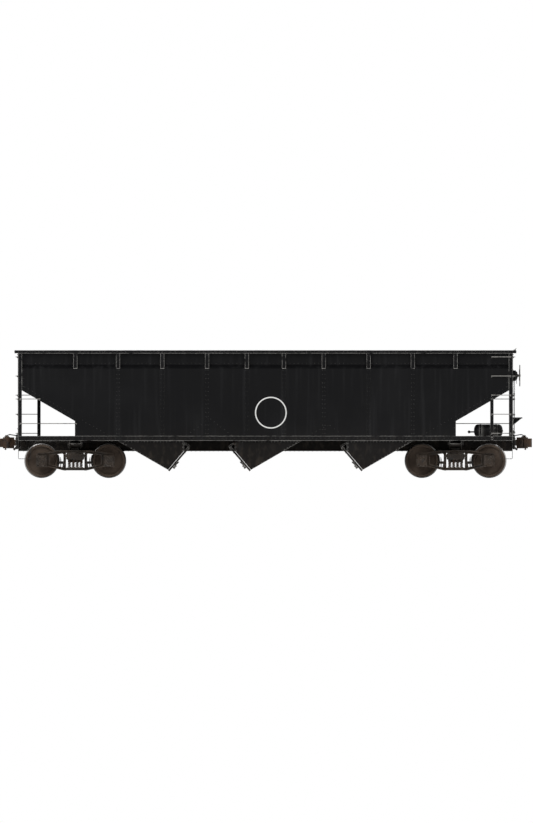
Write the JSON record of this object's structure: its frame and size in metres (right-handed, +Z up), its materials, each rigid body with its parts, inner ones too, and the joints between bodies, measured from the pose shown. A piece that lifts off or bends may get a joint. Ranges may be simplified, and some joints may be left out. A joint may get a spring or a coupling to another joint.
{
  "type": "open hopper wagon",
  "caption": "Open bulk hopper rail wagon with sloping ends, offset side sheets, bottom discharge doors that swing, swivelling bogies and couplers with opening knuckles.",
  "frame": {"origin": "centre of the wagon at the bottom of the wheel flanges, 25.4 mm below the rail tops", "axes": "+X lengthwise towards the hand-brake end, +Y to the left side seen towards +X, +Z up"},
  "size_m": [13.6706, 3.236, 3.3312],
  "materials": {
    "side_black": "satin black paint",
    "frame_black": "satin black paint, dusty below",
    "fitting_black": "satin black paint",
    "load_sheet": "black paint scoured by the load",
    "truck_cast": "painted rough casting",
    "spring_steel": "oily dark steel",
    "coupler_cast": "bare brown casting",
    "wheel_steel": "brown wheel with bright tread"
  },
  "bodies": {
    "car_body": {"side_wall_left": "side_black", "side_wall_right": "side_black", "side_stakes_left": "side_black", "side_stakes_right": "side_black", "top_chord": "side_black", "side_sills": "side_black", "corner_posts": "side_black", "end_wall_a": "side_black", "end_wall_b": "side_black", "end_posts_a": "side_black", "end_posts_b": "side_black", "end_sill_a": "side_black", "end_sill_b": "side_black", "end_slope_a": "load_sheet", "end_slope_b": "load_sheet", "cross_ridge_1": "load_sheet", "cross_ridge_2": "load_sheet", "sill_hood": "load_sheet", "hopper_chute_1": "frame_black", "hopper_chute_2": "frame_black", "hopper_chute_3": "frame_black", "center_sill": "frame_black", "body_bolster_a": "frame_black", "body_bolster_b": "frame_black", "coupler_a": "coupler_cast", "coupler_b": "coupler_cast", "ladders": "fitting_black", "grab_irons": "fitting_black", "sill_steps": "fitting_black", "hand_brake": "fitting_black", "brake_step": "fitting_black", "brake_cylinder": "fitting_black", "air_reservoir": "fitting_black", "brake_pipe_ends": "fitting_black"},
    "bogie_a": {"truck_frames_a": "truck_cast", "truck_bolster_a": "truck_cast", "truck_springs_a": "spring_steel", "brake_beams_a": "truck_cast"},
    "bogie_b": {"truck_frames_b": "truck_cast", "truck_bolster_b": "truck_cast", "truck_springs_b": "spring_steel", "brake_beams_b": "truck_cast"},
    "knuckle_a": {"knuckle_a": "coupler_cast"},
    "knuckle_b": {"knuckle_b": "coupler_cast"},
    "door_pair_1": {"door_pair_1": "frame_black"},
    "door_pair_2": {"door_pair_2": "frame_black"},
    "door_pair_3": {"door_pair_3": "frame_black"},
    "wheelset_a1": {"wheelset_a1": "wheel_steel"},
    "wheelset_a2": {"wheelset_a2": "wheel_steel"},
    "wheelset_b1": {"wheelset_b1": "wheel_steel"},
    "wheelset_b2": {"wheelset_b2": "wheel_steel"}
  },
  "joints": [
    {"name": "bogie_a_swivel", "type": "hinge", "parent": "car_body", "child": "bogie_a", "pos_m": [-4.877, 0, 0.6604], "axis": [0, 0, 1], "range_deg": [-8, 8]},
    {"name": "bogie_b_swivel", "type": "hinge", "parent": "car_body", "child": "bogie_b", "pos_m": [4.877, 0, 0.6604], "axis": [0, 0, 1], "range_deg": [-8, 8]},
    {"name": "wheelset_a1_turn", "type": "hinge", "parent": "bogie_a", "child": "wheelset_a1", "pos_m": [-5.7405, 0, 0.4444], "axis": [0, 1, 0], "continuous": true},
    {"name": "wheelset_a2_turn", "type": "hinge", "parent": "bogie_a", "child": "wheelset_a2", "pos_m": [-4.0135, 0, 0.4444], "axis": [0, 1, 0], "continuous": true},
    {"name": "wheelset_b1_turn", "type": "hinge", "parent": "bogie_b", "child": "wheelset_b1", "pos_m": [4.0135, 0, 0.4444], "axis": [0, 1, 0], "continuous": true},
    {"name": "wheelset_b2_turn", "type": "hinge", "parent": "bogie_b", "child": "wheelset_b2", "pos_m": [5.7405, 0, 0.4444], "axis": [0, 1, 0], "continuous": true},
    {"name": "door_pair_1_open", "type": "hinge", "parent": "car_body", "child": "door_pair_1", "pos_m": [-2.05, 0, 0.8804], "axis": [0, -1, 0], "range_deg": [0, 33.5]},
    {"name": "door_pair_2_open", "type": "hinge", "parent": "car_body", "child": "door_pair_2", "pos_m": [-0.819, 0, 0.8804], "axis": [0, 1, 0], "range_deg": [0, 33.5]},
    {"name": "door_pair_3_open", "type": "hinge", "parent": "car_body", "child": "door_pair_3", "pos_m": [2.05, 0, 0.8804], "axis": [0, 1, 0], "range_deg": [0, 33.5]},
    {"name": "knuckle_a_open", "type": "hinge", "parent": "car_body", "child": "knuckle_a", "pos_m": [-6.666, 0.11, 0.9014], "axis": [0, 0, -1], "range_deg": [0, 45]},
    {"name": "knuckle_b_open", "type": "hinge", "parent": "car_body", "child": "knuckle_b", "pos_m": [6.666, -0.11, 0.9014], "axis": [0, 0, -1], "range_deg": [0, 45]}
  ]
}
